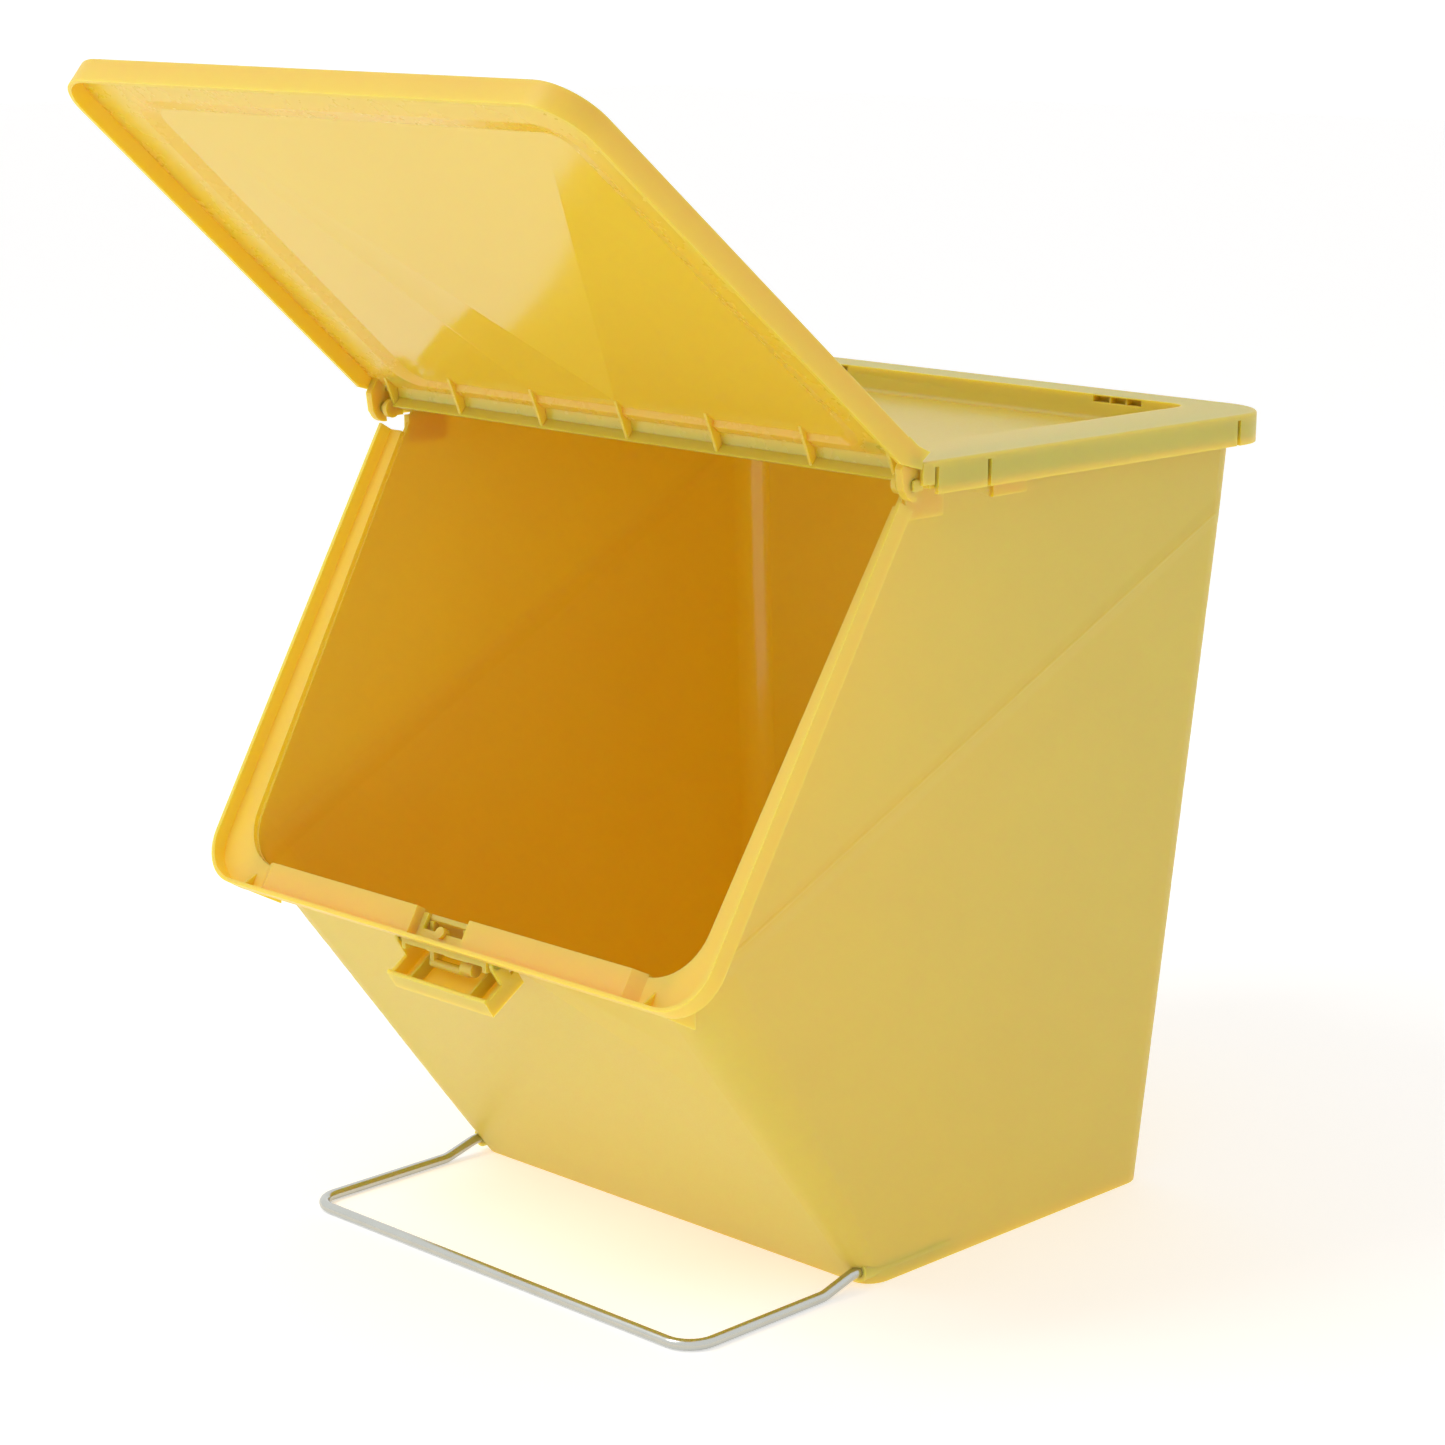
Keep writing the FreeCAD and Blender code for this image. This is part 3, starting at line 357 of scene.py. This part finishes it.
class OBJECT_OT_container_lid(bpy.types.Operator):
    """Make the lid: satin outside, a polished rim and a mirror-polished middle panel inside"""
    bl_idname = "object.container_lid"
    bl_label = "Lid"

    def execute(self, context):
        colours = context.scene.container_colours
        outside = satin_shell("spark_finished_polypropylene_lid", colours.lid)
        rim = glossy_face("polished_polypropylene_rim", colours.lid, 0.27)
        panel = glossy_face("mirror_polished_polypropylene", colours.lid, 0.13)
        inward = Matrix.Rotation(LID_TILT, 3, "X") @ Vector((0, 0, -1))

        def choose(centre, normal):
            place = in_lid(centre)
            if normal.dot(inward) > 0.98 and place.z > PANEL_HEIGHT:
                return 2
            return 1 if normal.dot(inward) > 0.2 and place.z > RIM_HEIGHT else 0

        eased("lid", "lid", [outside, rim, panel], choose)
        return {"FINISHED"}


class OBJECT_OT_container_lever(bpy.types.Operator):
    """Make the hanging latch lever"""
    bl_idname = "object.container_lever"
    bl_label = "Latch lever"

    def execute(self, context):
        colours = context.scene.container_colours
        eased("latch_lever", "latch",
              [satin_shell("spark_finished_polypropylene_lever", colours.shell)])
        return {"FINISHED"}


# ---------------------------------------------------------------- wire stand
def wire_route():
    """The wire's centre line: a U on the floor whose two legs rise into the sockets.  Gives points with the
    radius of the bend at each."""
    low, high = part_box("wire_stand")
    radius = 3 * MM
    leg, front, back = high.x - radius, low.y + radius, high.y
    bore, entry, floor_y = 9 * MM, -131 * MM, -153 * MM
    right = [((leg, back, bore), 0), ((leg, entry, bore), 20 * MM), ((leg, floor_y, radius), 20 * MM),
             ((leg, front, radius), 16 * MM)]
    left = [((-x, y, z), bend) for (x, y, z), bend in reversed(right)]
    return right + left, radius


def wire_tree(finish):
    """Geometry Nodes: rounds the corners of a bare route and sweeps a round wire along it."""
    tree = bpy.data.node_groups.new("Bent wire", "GeometryNodeTree")
    tree.interface.new_socket("Geometry", in_out="INPUT", socket_type="NodeSocketGeometry")
    tree.interface.new_socket("Wire radius", in_out="INPUT", socket_type="NodeSocketFloat")
    for title in ("Round facets", "Bend steps"):
        tree.interface.new_socket(title, in_out="INPUT", socket_type="NodeSocketInt")
    tree.interface.new_socket("Geometry", in_out="OUTPUT", socket_type="NodeSocketGeometry")
    given = add_node(tree, "NodeGroupInput").outputs
    curve = add_node(tree, "GeometryNodeMeshToCurve", links={"Mesh": given["Geometry"]})
    bend = add_node(tree, "GeometryNodeInputNamedAttribute", {"data_type": "FLOAT"}, {"Name": "bend"})
    rounded = add_node(tree, "GeometryNodeFilletCurve", {"mode": "POLY"}, {"Limit Radius": True}, {
        "Curve": curve.outputs["Curve"], "Radius": bend.outputs["Attribute"], "Count": given["Bend steps"]})
    section = add_node(tree, "GeometryNodeCurvePrimitiveCircle", links={
        "Radius": given["Wire radius"], "Resolution": given["Round facets"]})
    swept = add_node(tree, "GeometryNodeCurveToMesh", inputs={"Fill Caps": True}, links={
        "Curve": rounded.outputs["Curve"], "Profile Curve": section.outputs["Curve"]})
    smooth = add_node(tree, "GeometryNodeSetShadeSmooth", links={"Geometry": swept.outputs["Mesh"]})
    real = add_node(tree, "GeometryNodeRealizeInstances", links={"Geometry": smooth.outputs["Geometry"]})
    coated = add_node(tree, "GeometryNodeSetMaterial", inputs={"Material": finish},
                      links={"Geometry": real.outputs["Geometry"]})
    add_node(tree, "NodeGroupOutput", links={"Geometry": coated.outputs["Geometry"]})
    return tree


def baked(name, source, tree, values):
    """Runs a Geometry Nodes tree on a bare mesh and returns a plain mesh object of the result."""
    carrier = bpy.data.objects.new(f"{name}_route", source)
    bpy.context.collection.objects.link(carrier)
    modifier = carrier.modifiers.new("made_by_nodes", "NODES")
    modifier.node_group = tree
    sockets = {item.name: item.identifier for item in tree.interface.items_tree if item.in_out == "INPUT"}
    for title, value in values.items():
        modifier[sockets[title]] = value
    evaluated = carrier.evaluated_get(bpy.context.evaluated_depsgraph_get())
    mesh = bpy.data.meshes.new_from_object(evaluated)
    mesh.name = name
    bpy.data.objects.remove(carrier)
    piece = bpy.data.objects.new(name, mesh)
    bpy.context.collection.objects.link(piece)
    return piece


class OBJECT_OT_container_wire(bpy.types.Operator):
    """Bend the wire stand"""
    bl_idname = "object.container_wire"
    bl_label = "Wire stand"

    def execute(self, context):
        route, radius = wire_route()
        bare = bpy.data.meshes.new("wire_route")
        bare.from_pydata([point for point, _ in route], [(n, n + 1) for n in range(len(route) - 1)], [])
        bends = bare.attributes.new("bend", "FLOAT", "POINT")
        bends.data.foreach_set("value", [bend for _, bend in route])
        finish = bright_zinc_wire("bright_zinc_plated_wire", context.scene.container_colours.zinc)
        facets = context.scene.container_sizes.wire_facets
        piece = baked("wire_stand_finished", bare, wire_tree(finish),
                      {"Wire radius": radius, "Round facets": facets, "Bend steps": 10})
        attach(piece, "stand")
        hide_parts("wire_stand")
        return {"FINISHED"}


# ---------------------------------------------------------------- studio
def area_light(name, place, aim, size, power):
    data = bpy.data.lights.new(name, "AREA")
    data.shape = "RECTANGLE"
    data.size, data.size_y = size
    data.energy = power
    light = bpy.data.objects.new(name, data)
    light.location = place
    light.rotation_euler = (Vector(aim) - Vector(place)).to_track_quat("-Z", "Y").to_euler()
    bpy.context.collection.objects.link(light)


class OBJECT_OT_container_studio(bpy.types.Operator):
    """Set out the floor, the lights and the camera"""
    bl_idname = "object.container_studio"
    bl_label = "Studio"

    def execute(self, context):
        scene = context.scene
        studio = scene.container_studio
        bpy.ops.mesh.primitive_plane_add(size=FLOOR_SIZE, location=(0, 0, -FLOOR_GAP))
        floor = context.object
        floor.name = "studio_floor"
        floor.data.materials.append(studio_paint("matt_studio_paint", scene.container_colours.floor))

        world = bpy.data.worlds.new("studio_surroundings")
        world.use_nodes = True
        sky = world.node_tree.nodes["Background"]
        sky.inputs["Color"].default_value = (1, 1, 1, 1)
        sky.inputs["Strength"].default_value = studio.sky
        backdrop = add_node(world.node_tree, "ShaderNodeBackground", inputs={"Color": (1, 1, 1, 1)})
        backdrop.inputs["Strength"].default_value = BACKDROP
        scattered = add_node(world.node_tree, "ShaderNodeLightPath").outputs["Is Diffuse Ray"]
        split = add_node(world.node_tree, "ShaderNodeMixShader", links={
            0: scattered, 1: backdrop.outputs["Background"], 2: sky.outputs["Background"]})
        surface = world.node_tree.nodes["World Output"].inputs["Surface"]
        world.node_tree.links.new(split.outputs["Shader"], surface)
        scene.world = world
        area_light("key_light", KEY_PLACE, KEY_AIM, KEY_SIZE, studio.key)

        data = bpy.data.cameras.new("studio_camera")
        data.lens = studio.focal_length
        data.sensor_width = SENSOR_WIDTH
        data.clip_end = VIEW_END
        camera = bpy.data.objects.new("studio_camera", data)
        camera.location = CAMERA_PLACE
        camera.rotation_euler = (Matrix.Rotation(CAMERA_TURN, 3, "Z")
                                 @ Matrix.Rotation(math.pi / 2 - CAMERA_DIP, 3, "X")
                                 @ Matrix.Rotation(CAMERA_ROLL, 3, "Z")).to_euler()
        context.collection.objects.link(camera)
        scene.camera = camera
        scene.view_settings.view_transform = "Standard"
        return {"FINISHED"}


# ---------------------------------------------------------------- add-on
class VIEW3D_PT_container(bpy.types.Panel):
    """Lists the container's pieces and their settings"""
    bl_label = "Stacking container"
    bl_space_type = "VIEW_3D"
    bl_region_type = "UI"
    bl_category = "Container"

    def draw(self, context):
        for operator in OPERATORS:
            self.layout.operator(operator.bl_idname)
        for group in (context.scene.container_colours, context.scene.container_sizes,
                      context.scene.container_studio):
            for key in group.__annotations__:
                self.layout.prop(group, key)


OPERATORS = (OBJECT_OT_container_tub, OBJECT_OT_container_cover, OBJECT_OT_container_lid,
             OBJECT_OT_container_lever, OBJECT_OT_container_wire, OBJECT_OT_container_studio)
GROUPS = {"container_colours": ContainerColours, "container_sizes": ContainerSizes,
          "container_studio": StudioSettings}


def register():
    for group in GROUPS.values():
        bpy.utils.register_class(group)
    for operator in OPERATORS:
        bpy.utils.register_class(operator)
    bpy.utils.register_class(VIEW3D_PT_container)
    for name, group in GROUPS.items():
        setattr(bpy.types.Scene, name, PointerProperty(type=group))


def unregister():
    for name in GROUPS:
        delattr(bpy.types.Scene, name)
    bpy.utils.unregister_class(VIEW3D_PT_container)
    for operator in reversed(OPERATORS):
        bpy.utils.unregister_class(operator)
    for group in reversed(GROUPS.values()):
        bpy.utils.unregister_class(group)


def main():
    register()
    bpy.ops.object.container_tub()
    bpy.ops.object.container_cover()
    bpy.ops.object.container_lid()
    bpy.ops.object.container_lever()
    bpy.ops.object.container_wire()
    bpy.ops.object.container_studio()


if __name__ == "__main__":
    main()
